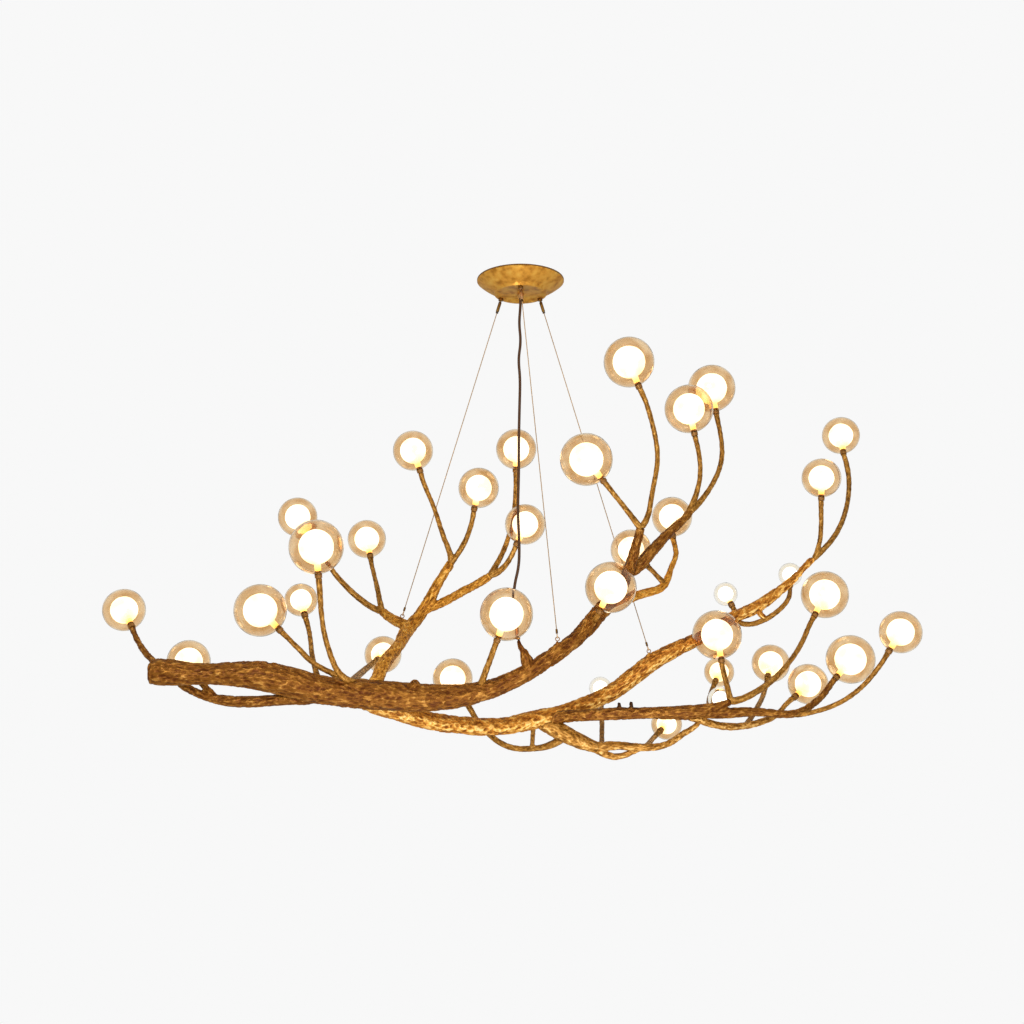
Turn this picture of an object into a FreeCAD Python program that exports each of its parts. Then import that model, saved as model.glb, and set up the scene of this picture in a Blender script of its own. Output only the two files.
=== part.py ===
"""Branch chandelier: gilded branches with globe lamps, hung by three wires from a ceiling canopy.

Millimetres, +Z up.  The origin is the centre of the canopy's rim on the ceiling plane, and the
front of the lamp faces -Y.  Branch centre lines are lists of (x, y, z, thickness).
"""
import FreeCAD
import Part
import math
import os

V = FreeCAD.Vector
UP = V(0, 0, 1)

# ---------------------------------------------------------------- canopy and ceiling bracket
CANOPY_RIM_R = 110.0
CANOPY_LIP_H = 3.0
CANOPY_DEPTH = 38.0
CANOPY_FLOOR_R = 66.0
CANOPY_FOOT_H = 7.0
CANOPY_FOOT_OUT = 1.5
CANOPY_SIDE_BULGE = 2.0
CANOPY_WALL = 1.5
FLOOR_RECESS_R = 48.5
FLOOR_RECESS_H = 2.0

BRACKET_W = 24.0
BRACKET_T = 2.5
BRACKET_FOOT_IN = 34.0
BRACKET_FOOT_OUT = 64.0
BRACKET_DROP = 20.0
BRACKET_HOLE_X = 50.0
BRACKET_HOLE_R = 2.6
EARTH_SCREW_X = 22.0
EARTH_SCREW_R = 2.0
EARTH_SCREW_LENGTH = 8.0
EARTH_HEAD_H = 2.4

NIPPLE_R = 5.0
NIPPLE_BORE_R = 3.7
NIPPLE_TOP_Z = -10.0
NIPPLE_BELOW_FLOOR = 5.0
NUT_H = 5.0
NUT_FLATS = 15.0
SHAKEPROOF_T = 1.0
CORD_GRIP_R = 8.0
CORD_GRIP_H = 12.0
CORD_GRIP_COLLAR_H = 6.0
CORD_GRIP_TIP_R = 5.2

DRIVER_L = 78.0
DRIVER_W = 26.0
DRIVER_H = 18.0
DRIVER_Y = 34.0
DRIVER_CORNER_R = 2.0
TERMINAL_L = 34.0
TERMINAL_W = 15.0
TERMINAL_H = 13.0
TERMINAL_Y = -30.0
TERMINAL_SCREWS = 3
TERMINAL_SCREW_R = 2.0
TERMINAL_SCREW_H = 3.0
TERMINAL_SCREW_DEPTH = 4.0

# ---------------------------------------------------------------- suspension
GRIPPER_CIRCLE_R = 57.5
GRIPPER_AZIMUTH = {"front": -90.0, "left": 150.0, "right": 30.0}
SEAT_R = 6.3
SEAT_BELOW = 6.0
SEAT_SHANK_R = 5.0
SEAT_SHANK_UP = 6.5
SEAT_NUT_H = 3.0
SEAT_NUT_FLATS = 12.0
BALL_R = 3.5
BALL_DROP = 4.0
BALL_PLAY = 0.25
NECK_R = 1.8
GRIPPER_START = 6.0
GRIPPER_LENGTH = 26.0
GRIPPER_R = 4.0
PLUNGER_R = 2.5
PLUNGER_LENGTH = 10.0
PLUNGER_FLANGE_R = 3.4
PLUNGER_FLANGE_T = 1.5
PLUNGER_TRAVEL = 2.5
WIRE_R = 1.1
WIRE_START = 10.0
LOOP_R = 5.0
EYE_R = 4.5
EYE_WIRE_R = 1.1
EYE_SHANK_R = 1.3
EYE_SHANK_LENGTH = 12.0
LINK_PLAY = 0.45
FERRULE_R = 2.6
FERRULE_LENGTH = 10.0

EYE_CENTRE = {
    "front": V(84, -97.5, -917),
    "left": V(-295, 112, -841),
    "right": V(318, 112, -928),
}
EYE_FOOT = {
    "front": V(82, -93, -935),
    "left": V(-295, 113, -861),
    "right": V(316, 114, -945),
}

# ---------------------------------------------------------------- power cord
CORD_R = 3.4
CORD_ROUTE = [
    (0, 0, -48), (0, -1, -70), (-4, -4, -116), (1, -9, -165), (-6, -14, -214), (-1, -20, -266),
    (-3, -29, -340), (-5, -40, -425), (-5, -52, -515), (-8, -64, -605), (-4, -77, -690),
    (-5, -86, -745), (-16, -92, -790), (-18, -97, -832), (-10, -103, -876), (-7, -107.5, -919),
]
CORD_ARC_SHARE = 0.45
CORD_SLEEVE_R = 4.8
CORD_SLEEVE_LENGTH = 24.0

# ---------------------------------------------------------------- lamps
CUP_H = 8.0
CUP_TOP_R = 8.5
CUP_WIDER = 1.0
WASHER_T = 1.0
PAD_R = 8.0
GLASS_WALL = 2.2
SHANK_R = 4.0
RING_NUT_R = 7.5
RING_NUT_H = 3.0
HOLDER_R = 6.0
NECK_WALL = 1.3
OPAL_SHARE = 0.64
OPAL_WALL = 1.6
LED_R = 4.5
LED_LENGTH = 17.0
STEM_TIP_R = 7.0
# Degree of the curve along a branch; a route of many points needs the higher one to stay straight.
BEND_DEGREE = 3
LONG_BEND_DEGREE = 5
FIT = 0.3
BEAD_STEP = 12.0

# number: (glass diameter, centre of the globe)
LAMPS = {
    1: (100, V(-945, -32, -842)), 2: (100, V(-773, -80, -968)), 3: (120, V(-596, -155, -857)),
    4: (80, V(-533, 17, -812)), 5: (120, V(-450, -298, -734)), 6: (100, V(-571, 151, -582)),
    7: (100, V(-403, 240, -624)), 8: (100, V(-269, 41, -434)), 9: (100, V(-104, 28, -532)),
    10: (100, V(-11, 25, -434)), 11: (100, V(11, 43, -621)), 12: (120, V(147, -238, -523)),
    13: (120, V(-34, -194, -870)), 14: (100, V(-170, 152, -993)), 15: (100, V(-372, 409, -913)),
    16: (120, V(256, -155, -266)), 17: (120, V(416, -13, -341)), 18: (120, V(487, 69, -264)),
    19: (100, V(379, 75, -596)), 20: (100, V(270, 24, -688)), 21: (120, V(209, -102, -797)),
    22: (120, V(479, 55, -893)), 23: (60, V(526, 188, -776)), 24: (100, V(873, 300, -328)),
    25: (100, V(776, 148, -480)), 26: (60, V(702, 225, -720)), 27: (120, V(777, 175, -779)),
    28: (100, V(903, -24, -894)), 29: (120, V(818, 115, -948)), 30: (100, V(718, 149, -1007)),
    31: (100, V(666, 340, -942)), 32: (80, V(537, 393, -961)), 33: (60, V(493, 124, -1045)),
    34: (80, V(381, 303, -1102)), 35: (60, V(215, 376, -1005)),
}

# ---------------------------------------------------------------- limbs: (x, y, z, thickness)
MAIN_TRUNK = [
    (-829, -191, -999, 52), (-763, -190, -1001, 54), (-637, -183, -1003, 56),
    (-498, -163, -1026, 66), (-402, -144, -1043, 64), (-317, -128, -1048, 66),
    (-236, -114, -1052, 63), (-143, -104, -1048, 53), (-49, -98, -1024, 42),
    (61, -90, -964, 38), (104, -81, -934, 36), (138, -67, -905, 37), (175, -42, -862, 41),
    (196, -26, -839, 41),
]
TRUNK_KNOT = [(-252, -123, -1038, 27), (-242, -134, -1025, 24), (-239, -139, -1018, 18)]
CORD_THORN = [(18, -96, -984, 36), (10, -101, -959, 24), (0, -105, -938, 15), (-7, -107.5, -921, 9)]
FRONT_THORN = [(76, -89, -951, 26), (82, -93, -935, 16), (84, -97, -923, 8)]
LEFT_UNDER = [
    (-450, -152, -1041, 36), (-500, -149, -1057, 27), (-564, -144, -1060, 25),
    (-683, -137, -1058, 23), (-725, -133, -1047, 20), (-761, -130, -1031, 18),
    (-802, -127, -1004, 16), (-851, -106, -966, 15), (-889, -77, -929, 14),
]
LEFT_UNDER_TWIG = [(-695, -136, -1055, 18), (-717, -132, -1031, 15), (-737, -121, -1012, 14)]
RISING = [
    (-340, -126, -1031, 33), (-326, -95, -993, 31), (-306, -28, -946, 30), (-289, 50, -904, 31),
    (-277, 105, -871, 34), (-257, 127, -843, 31), (-235, 129, -809, 29), (-210, 118, -764, 25),
    (-187, 105, -728, 22), (-174, 97, -708, 20),
]
RISING_LEFT = [(-277, 105, -871, 28), (-296, 114, -860, 27), (-323, 134, -845, 24), (-349, 152, -825, 22)]
RISING_RIGHT = [
    (-250, 128, -834, 22), (-242, 129, -826, 23), (-194, 121, -805, 22), (-139, 100, -778, 21),
    (-104, 87, -761, 21), (-76, 75, -744, 19),
]
UPPER = [
    (196, -26, -839, 40), (226, -10, -806, 37), (247, -20, -776, 33), (258, -65, -746, 29),
    (269, -111, -701, 23), (277, -139, -663, 19),
]
UPPER_BACK = [
    (257, -50, -752, 28), (274, -51, -744, 29), (301, -48, -716, 29), (349, -32, -663, 24),
    (392, -9, -622, 20), (414, 1, -596, 18),
]
INNER = [
    (196, -26, -839, 29), (234, -4, -821, 24), (273, 6, -806, 22), (311, 16, -793, 21),
    (342, 28, -781, 20), (361, 38, -753, 17), (378, 54, -712, 14),
]
SECOND_TRUNK = [
    (-403, -136, -1045, 38), (-356, -105, -1061, 39), (-308, -76, -1077, 40), (-258, -43, -1091, 41),
    (-210, -13, -1103, 42), (-155, 14, -1110, 42), (-101, 39, -1114, 42), (-26, 70, -1110, 42),
    (35, 93, -1096, 45), (96, 106, -1082, 41), (161, 116, -1058, 39),
    (221, 121, -1031, 40), (316, 118, -962, 43), (423, 129, -905, 34), (491, 142, -868, 32),
    (536, 151, -840, 31), (581, 158, -822, 31), (616, 162, -802, 29), (652, 166, -776, 25),
    (687, 168, -748, 20), (720, 169, -717, 17), (752, 169, -687, 16),
]
RIGHT_THORN = [(311, 117, -959, 27), (316, 114, -945, 18), (318, 112, -934, 9)]
TRUNK_WEB = [(600, 160, -818, 20), (612, 162, -833, 15), (622, 163, -843, 12)]
LOWER_RIGHT = [
    (35, 93, -1096, 34), (91, 94, -1090, 34), (158, 72, -1086, 28), (239, 55, -1083, 30),
    (322, 39, -1082, 29), (404, 29, -1081, 35), (457, 27, -1072, 26), (500, 26, -1055, 17),
]
LOWER_NUB_A = [(237, 52, -1076, 14), (237, 51, -1067, 10), (236, 47, -1058, 7)]
LOWER_NUB_B = [(265, 47, -1076, 14), (265, 46, -1066, 10), (266, 42, -1055, 7)]
LOWER_RIGHT_TIP = [
    (428, 29, -1080, 29), (479, 33, -1082, 27), (538, 38, -1080, 23), (599, 45, -1082, 20),
    (658, 54, -1083, 18), (695, 67, -1069, 17), (733, 84, -1042, 16), (762, 98, -1010, 15),
]
LOWER_BACK = [
    (404, 30, -1089, 24), (463, 44, -1109, 18), (507, 61, -1114, 18), (546, 77, -1111, 17),
    (588, 94, -1101, 16), (615, 104, -1091, 15), (646, 118, -1068, 13),
]
BOTTOM = [(47, 97, -1097, 39), (103, 109, -1128, 42), (145, 116, -1148, 37), (187, 123, -1163, 27)]
BOTTOM_UPPER = [
    (170, 119, -1157, 25), (197, 123, -1161, 24), (246, 125, -1159, 21), (288, 127, -1162, 19),
    (348, 111, -1158, 17), (379, 87, -1141, 16), (403, 62, -1124, 14), (431, 34, -1096, 14),
]
BOTTOM_LOWER = [
    (165, 118, -1154, 25), (202, 129, -1176, 19), (237, 137, -1185, 16), (269, 137, -1176, 15),
    (300, 128, -1163, 15),
]
BRACE = [(28, 152, -1165, 13), (29, 133, -1145, 12), (31, 96, -1114, 13)]

# lamp number: stem from inside its branch up to the last bend, and the lamp's own cup follows
TRUNK_STEMS = {
    3: [(-341, -124, -1029, 22), (-370, -131, -1018, 18), (-404, -129, -1012, 16),
        (-434, -129, -997, 14), (-464, -130, -982, 13), (-493, -133, -959, 13), (-522, -138, -930, 12)],
    4: [(-462, -126, -1018, 16), (-473, -100, -993, 14), (-490, -57, -953, 13), (-504, -11, -903, 12)],
    5: [(-362, -137, -1027, 18), (-395, -166, -1013, 16), (-413, -187, -994, 14),
        (-424, -205, -967, 13), (-435, -231, -924, 12), (-441, -259, -870, 12)],
    13: [(-95, -107, -1030, 18), (-81, -135, -993, 15), (-69, -155, -963, 14)],
    15: [(-404, -136, -1040, 22), (-404, -25, -1016, 19), (-407, 123, -991, 18), (-405, 261, -966, 17)],
    21: [(162, -54, -873, 17), (178, -71, -862, 14)],
}
RISING_STEMS = {
    6: [(-349, 152, -825, 18), (-389, 154, -806, 16), (-430, 152, -773, 15), (-456, 152, -747, 14),
        (-498, 153, -693, 13)],
    7: [(-349, 152, -825, 17), (-356, 160, -802, 15), (-368, 185, -756, 13), (-382, 211, -710, 12)],
    8: [(-174, 97, -708, 17), (-178, 91, -682, 15), (-194, 82, -641, 13), (-212, 70, -587, 12),
        (-234, 60, -533, 12)],
    9: [(-174, 97, -708, 18), (-161, 90, -693, 15), (-142, 76, -665, 14), (-126, 61, -629, 13)],
    10: [(-76, 75, -744, 17), (-54, 90, -703, 14), (-35, 104, -657, 13), (-20, 103, -599, 12),
         (-13, 75, -545, 12)],
    11: [(-76, 75, -744, 17), (-44, 64, -727, 15), (-24, 57, -700, 13)],
}
UPPER_STEMS = {
    12: [(277, -139, -663, 16), (256, -159, -641, 14), (226, -187, -610, 12)],
    16: [(277, -139, -663, 16), (295, -138, -634, 14), (313, -140, -547, 12), (320, -142, -497, 12),
         (315, -144, -442, 12), (302, -147, -386, 12)],
    17: [(406, -2, -606, 17), (429, 0, -556, 14), (441, -1, -501, 12), (438, -3, -448, 12)],
    18: [(414, 1, -596, 18), (440, 11, -571, 15), (477, 32, -519, 13), (501, 52, -466, 13),
         (508, 70, -402, 12)],
    20: [(349, 29, -769, 15), (334, 24, -754, 13), (318, 20, -738, 12)],
}
SECOND_STEMS = {
    24: [(752, 169, -687, 15), (778, 174, -663, 15), (808, 186, -631, 14), (836, 206, -590, 14),
         (859, 232, -542, 13), (876, 260, -488, 13)],
    25: [(752, 169, -687, 14), (764, 168, -660, 13), (773, 161, -593, 12)],
    26: [(542, 153, -841, 17), (562, 158, -855, 14), (593, 161, -854, 14), (627, 163, -840, 14),
         (660, 169, -817, 13), (685, 184, -789, 13), (695, 203, -763, 12)],
    23: [(558, 155, -831, 15), (547, 177, -822, 14)],
}
LOWER_STEMS = {
    22: [(500, 26, -1055, 17), (497, 39, -1018, 14), (491, 54, -980, 13)],
    27: [(500, 26, -1055, 19), (553, 35, -1039, 16), (597, 56, -1013, 15), (629, 77, -989, 14),
         (666, 106, -953, 13), (696, 135, -918, 13), (722, 157, -876, 13)],
    28: [(646, 52, -1085, 14), (676, 48, -1085, 13), (709, 40, -1078, 12), (750, 32, -1064, 12),
         (789, 21, -1042, 12), (826, 9, -1009, 12), (858, -4, -968, 12)],
    31: [(546, 77, -1111, 16), (565, 112, -1092, 14), (600, 187, -1057, 13), (633, 271, -1018, 13)],
    32: [(457, 29, -1073, 14), (464, 119, -1075, 13), (481, 227, -1051, 13), (504, 333, -1020, 13)],
    33: [(481, 29, -1071, 15), (487, 60, -1083, 13), (491, 88, -1088, 12)],
}
BOTTOM_STEMS = {
    14: [(103, 112, -1140, 22), (79, 127, -1154, 19), (50, 142, -1163, 16), (18, 157, -1166, 15),
         (-22, 172, -1163, 15), (-54, 183, -1149, 15), (-82, 188, -1127, 14), (-112, 190, -1091, 14)],
    34: [(305, 126, -1163, 15), (318, 165, -1154, 14), (337, 234, -1140, 13)],
    35: [(199, 122, -1159, 15), (202, 162, -1139, 13), (208, 235, -1096, 13), (213, 319, -1055, 13)],
}


# ================================================================ small helpers
def cylinder(radius, length, start, direction=UP):
    return Part.makeCylinder(radius, length, start, direction)


def tube(outer_r, bore_r, length, start, direction=UP):
    return cylinder(outer_r, length, start, direction).cut(cylinder(bore_r, length, start, direction))


def box(size, centre_x, centre_y, bottom_z):
    corner = V(centre_x - size[0] / 2, centre_y - size[1] / 2, bottom_z)
    return Part.makeBox(size[0], size[1], size[2], corner)


def hex_nut(flats, height, bore_r, start, direction=UP):
    corners = []
    for i in range(7):
        angle = math.radians(60 * i)
        corners.append(V(math.cos(angle), math.sin(angle), 0) * (flats / math.sqrt(3)))
    prism = Part.Face(Part.makePolygon(corners)).extrude(V(0, 0, height))
    prism = prism.cut(cylinder(bore_r, height, V(0, 0, 0)))
    prism.Placement = FreeCAD.Placement(start, FreeCAD.Rotation(UP, direction))
    return prism


def largest(shape):
    return max(shape.Solids, key=lambda solid: solid.Volume)


class Limb:
    """A branch's solid, with the points and radii that it was drawn through."""

    def __init__(self, solid, points, radii):
        self.solid = solid
        self.beads = []
        for i in range(len(points) - 1):
            steps = max(1, round((points[i + 1] - points[i]).Length / BEAD_STEP))
            for k in range(steps + 1):
                share = k / steps
                place = points[i] * (1 - share) + points[i + 1] * share
                self.beads.append((place, radii[i] * (1 - share) + radii[i + 1] * share))

    def near(self, other):
        for a, a_r in self.beads:
            for b, b_r in other.beads:
                if (a - b).Length < a_r + b_r + BEAD_STEP / 2:
                    return True
        return False


def fitted(branch, others):
    """The branch with its neighbours' solids taken out, so that they meet face to face."""
    for other in others:
        if branch.near(other):
            branch.solid = largest(branch.solid.cut(other.solid))
    return branch


def limb(route, tip=None, tip_r=STEM_TIP_R, degree=BEND_DEGREE):
    """A tapered, smoothly bent branch through (x, y, z, thickness) points."""
    points = [V(x, y, z) for x, y, z, thickness in route]
    radii = [thickness / 2 for x, y, z, thickness in route]
    if tip:
        points.append(tip)
        radii.append(tip_r)
    rings = []
    seam = UP
    for i, point in enumerate(points):
        before = points[max(i - 1, 0)]
        after = points[min(i + 1, len(points) - 1)]
        direction = V(0, 0, 0)
        if before != point:
            direction = direction + (point - before).normalize()
        if after != point:
            direction = direction + (after - point).normalize()
        seam = direction.cross(seam.cross(direction)).normalize()
        turn = FreeCAD.Rotation(seam, V(), direction, "ZXY")
        ring = Part.makeCircle(radii[i])
        ring.Placement = FreeCAD.Placement(point, turn)
        rings.append(Part.Wire(ring))
    return Limb(Part.makeLoft(rings, True, False, False, degree), points, radii)


def joined(limbs):
    whole = limbs[0]
    for branch in limbs[1:]:
        whole.solid = largest(whole.solid.fuse(branch.solid))
        whole.beads += branch.beads
    return whole


# ================================================================ lamps
def centre_height(diameter):
    """From the end of the stem to the centre of the globe."""
    return CUP_H + WASHER_T + math.sqrt((diameter / 2) ** 2 - PAD_R ** 2)


def lamp_axis(number, route):
    """The end of the lamp's stem, and the direction from there to its globe."""
    diameter, centre = LAMPS[number]
    direction = (centre - V(*route[-1][:3])).normalize()
    return centre - direction * centre_height(diameter), direction


def lamp_pieces(diameter):
    """The pieces of one lamp, standing on the origin with its globe above."""
    outer_r = diameter / 2
    centre = V(0, 0, centre_height(diameter))
    pad_z = CUP_H + WASHER_T
    inner_r = outer_r - GLASS_WALL
    nut_z = centre.z - math.sqrt(inner_r ** 2 - RING_NUT_R ** 2) + FIT / 3
    nut_top = nut_z + RING_NUT_H
    opal_r = outer_r * OPAL_SHARE
    neck_r = HOLDER_R + FIT + NECK_WALL
    neck_top = centre.z - math.sqrt(opal_r ** 2 - neck_r ** 2)
    hole_r = SHANK_R + FIT

    cup = Part.makeCone(STEM_TIP_R + CUP_WIDER, CUP_TOP_R, CUP_H)
    cup = cup.cut(cylinder(hole_r, CUP_H, V(0, 0, 0)))
    washer = tube(PAD_R, hole_r, WASHER_T, V(0, 0, CUP_H))
    glass = Part.makeSphere(outer_r, centre).cut(Part.makeSphere(inner_r, centre))
    glass = glass.cut(Part.makeBox(diameter, diameter, diameter, V(-outer_r, -outer_r, pad_z - diameter)))
    glass = glass.cut(cylinder(hole_r, outer_r, V(0, 0, 0)))
    ring_nut = tube(RING_NUT_R, SHANK_R + FIT / 3, RING_NUT_H, V(0, 0, nut_z))
    holder = cylinder(SHANK_R, nut_top, V(0, 0, 0))
    holder = holder.fuse(cylinder(HOLDER_R, neck_top - nut_top, V(0, 0, nut_top)))
    led_z = neck_top
    led = cylinder(LED_R, LED_LENGTH - LED_R, V(0, 0, led_z))
    led = led.fuse(Part.makeSphere(LED_R, V(0, 0, led_z + LED_LENGTH - LED_R)))
    bore_r = neck_r - NECK_WALL
    opal = Part.makeSphere(opal_r, centre).fuse(cylinder(neck_r, centre.z - nut_top, V(0, 0, nut_top)))
    opal = opal.cut(Part.makeSphere(opal_r - OPAL_WALL, centre))
    opal = opal.cut(cylinder(bore_r, centre.z - nut_top, V(0, 0, nut_top)))
    return {
        "globe_cups": cup,
        "globe_washers": washer,
        f"glass_globes_{diameter}": largest(glass),
        "globe_ring_nuts": ring_nut,
        "lamp_holders": holder,
        "led_capsules": led,
        f"opal_balls_{diameter}": largest(opal),
    }


# ================================================================ suspension
def wire_line(side):
    """Centre of the gripper's ball, direction of the wire, and length from ball to eye."""
    angle = math.radians(GRIPPER_AZIMUTH[side])
    ball = V(math.cos(angle), math.sin(angle), 0) * GRIPPER_CIRCLE_R + V(0, 0, -CANOPY_DEPTH - BALL_DROP)
    along = EYE_CENTRE[side] - ball
    return ball, along.normalize(), (EYE_CENTRE[side] - ball).Length


def gripper_seat(side):
    ball = wire_line(side)[0]
    floor = V(ball.x, ball.y, -CANOPY_DEPTH)
    top = floor + V(0, 0, SEAT_SHANK_UP)
    seat = cylinder(SEAT_R, SEAT_BELOW, floor - V(0, 0, SEAT_BELOW))
    seat = seat.fuse(cylinder(SEAT_SHANK_R, SEAT_SHANK_UP, floor))
    socket_r = BALL_R + BALL_PLAY
    seat = seat.cut(Part.makeSphere(socket_r, ball))
    seat = seat.cut(cylinder(socket_r, top.z - ball.z, ball))
    depth = SEAT_BELOW - BALL_DROP
    mouth_r = math.sqrt(socket_r ** 2 - depth ** 2)
    seat = seat.cut(cylinder(mouth_r, depth + 1, ball - V(0, 0, depth + 1)))
    nut = hex_nut(SEAT_NUT_FLATS, SEAT_NUT_H, SEAT_SHANK_R + FIT / 3, floor + V(0, 0, CANOPY_WALL))
    return seat, nut


def wire_gripper(side):
    ball, along, length = wire_line(side)
    start = ball + along * GRIPPER_START
    gripper = Part.makeSphere(BALL_R, ball).fuse(cylinder(NECK_R, GRIPPER_START + 1, ball, along))
    gripper = gripper.fuse(cylinder(GRIPPER_R, GRIPPER_LENGTH, start, along))
    end = start + along * GRIPPER_LENGTH
    plunger_in = PLUNGER_LENGTH - PLUNGER_FLANGE_T - PLUNGER_TRAVEL
    plunger_room = plunger_in + PLUNGER_TRAVEL + FIT
    gripper = gripper.cut(cylinder(PLUNGER_R + FIT / 2, plunger_room, end - along * plunger_room, along))
    gripper = gripper.cut(cylinder(WIRE_R + FIT, length, ball + along * (WIRE_START - FIT), along))
    plunger = cylinder(PLUNGER_R, PLUNGER_LENGTH, end - along * plunger_in, along)
    flange_at = end + along * PLUNGER_TRAVEL
    plunger = plunger.fuse(cylinder(PLUNGER_FLANGE_R, PLUNGER_FLANGE_T, flange_at, along))
    plunger = plunger.cut(cylinder(WIRE_R + FIT, length, ball, along))
    return gripper, plunger


def suspension_wire(side):
    """The wire with its lower loop, the crimped ferrule, and the eye that is screwed in the branch."""
    ball, along, length = wire_line(side)
    eye_centre = EYE_CENTRE[side]
    link = EYE_R - EYE_WIRE_R - WIRE_R - LINK_PLAY
    loop_centre = eye_centre - along * (link + LOOP_R)
    across = along.cross(V(0, 1, 0)).normalize()
    loop_normal = across
    eye_normal = along.cross(across).normalize()
    loop_top = length - link - 2 * LOOP_R
    wire = cylinder(WIRE_R, loop_top - WIRE_START, ball + along * WIRE_START, along)
    wire = wire.fuse(Part.makeTorus(LOOP_R, WIRE_R, loop_centre, loop_normal))
    ferrule_at = ball + along * (loop_top - FERRULE_LENGTH - WIRE_R)
    ferrule = tube(FERRULE_R, WIRE_R + FIT / 2, FERRULE_LENGTH, ferrule_at, along)
    foot = (EYE_FOOT[side] - eye_centre).normalize()
    eye = Part.makeTorus(EYE_R, EYE_WIRE_R, eye_centre, eye_normal)
    eye = eye.fuse(cylinder(EYE_SHANK_R, EYE_SHANK_LENGTH, eye_centre + foot * EYE_R, foot))
    return wire, ferrule, eye


# ================================================================ canopy
def canopy_bowl(rim_r, floor_r, recess_r, depth, recess_depth, foot_z):
    """Solid bowl of revolution with a slightly bulging side and a recess in its floor."""
    lip = V(rim_r, 0, -CANOPY_LIP_H)
    foot = V(floor_r + CANOPY_FOOT_OUT, 0, foot_z)
    side = (foot - lip).normalize()
    middle = (lip + foot) * 0.5 + V(-side.z, 0, side.x).normalize() * CANOPY_SIDE_BULGE
    edges = [
        Part.makeLine(V(0, 0, 0), V(rim_r, 0, 0)),
        Part.makeLine(V(rim_r, 0, 0), lip),
        Part.Arc(lip, middle, foot).toShape(),
        Part.makeLine(foot, V(floor_r, 0, -depth)),
        Part.makeLine(V(floor_r, 0, -depth), V(recess_r + FLOOR_RECESS_H, 0, -depth)),
        Part.makeLine(V(recess_r + FLOOR_RECESS_H, 0, -depth), V(recess_r, 0, -recess_depth)),
        Part.makeLine(V(recess_r, 0, -recess_depth), V(0, 0, -recess_depth)),
        Part.makeLine(V(0, 0, -recess_depth), V(0, 0, 0)),
    ]
    return Part.Face(Part.Wire(edges)).revolve(V(0, 0, 0), UP, 360)


def canopy_cover():
    recess_depth = CANOPY_DEPTH - FLOOR_RECESS_H
    foot_z = -(CANOPY_DEPTH - CANOPY_FOOT_H)
    outer = canopy_bowl(CANOPY_RIM_R, CANOPY_FLOOR_R, FLOOR_RECESS_R, CANOPY_DEPTH, recess_depth, foot_z)
    inner = canopy_bowl(
        CANOPY_RIM_R - CANOPY_WALL, CANOPY_FLOOR_R - CANOPY_WALL, FLOOR_RECESS_R + CANOPY_WALL / 2,
        CANOPY_DEPTH - CANOPY_WALL, recess_depth - CANOPY_WALL, foot_z + CANOPY_WALL / 2,
    )
    cover = outer.cut(inner)
    cover = cover.cut(cylinder(NIPPLE_R + FIT, CANOPY_DEPTH, V(0, 0, -CANOPY_DEPTH)))
    for side in GRIPPER_AZIMUTH:
        ball = wire_line(side)[0]
        cover = cover.cut(cylinder(SEAT_SHANK_R + FIT, CANOPY_DEPTH, V(ball.x, ball.y, -CANOPY_DEPTH)))
    return cover


def ceiling_bracket():
    foot_l = BRACKET_FOOT_OUT - BRACKET_FOOT_IN
    bracket = box((2 * BRACKET_FOOT_IN, BRACKET_W, BRACKET_T), 0, 0, -BRACKET_DROP)
    for sign in (-1, 1):
        foot_x = sign * (BRACKET_FOOT_IN + foot_l / 2)
        bracket = bracket.fuse(box((foot_l, BRACKET_W, BRACKET_T), foot_x, 0, -BRACKET_T))
        riser_x = sign * (BRACKET_FOOT_IN - BRACKET_T / 2)
        bracket = bracket.fuse(box((BRACKET_T, BRACKET_W, BRACKET_DROP), riser_x, 0, -BRACKET_DROP))
        foot = bracket.fuse(box((BRACKET_T, BRACKET_W, BRACKET_T), riser_x, 0, -BRACKET_T))
        bracket = foot.cut(cylinder(BRACKET_HOLE_R, BRACKET_T, V(sign * BRACKET_HOLE_X, 0, -BRACKET_T)))
    bracket = bracket.cut(cylinder(NIPPLE_R + FIT / 3, BRACKET_T, V(0, 0, -BRACKET_DROP)))
    hole = cylinder(EARTH_SCREW_R, BRACKET_T, V(EARTH_SCREW_X, 0, -BRACKET_DROP))
    return bracket.cut(hole).removeSplitter()


def earth_screw():
    seat = V(EARTH_SCREW_X, 0, -BRACKET_DROP + BRACKET_T)
    screw = cylinder(EARTH_SCREW_R - FIT / 3, EARTH_SCREW_LENGTH, seat - V(0, 0, EARTH_SCREW_LENGTH))
    return screw.fuse(cylinder(2 * EARTH_SCREW_R, EARTH_HEAD_H, seat))


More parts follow.
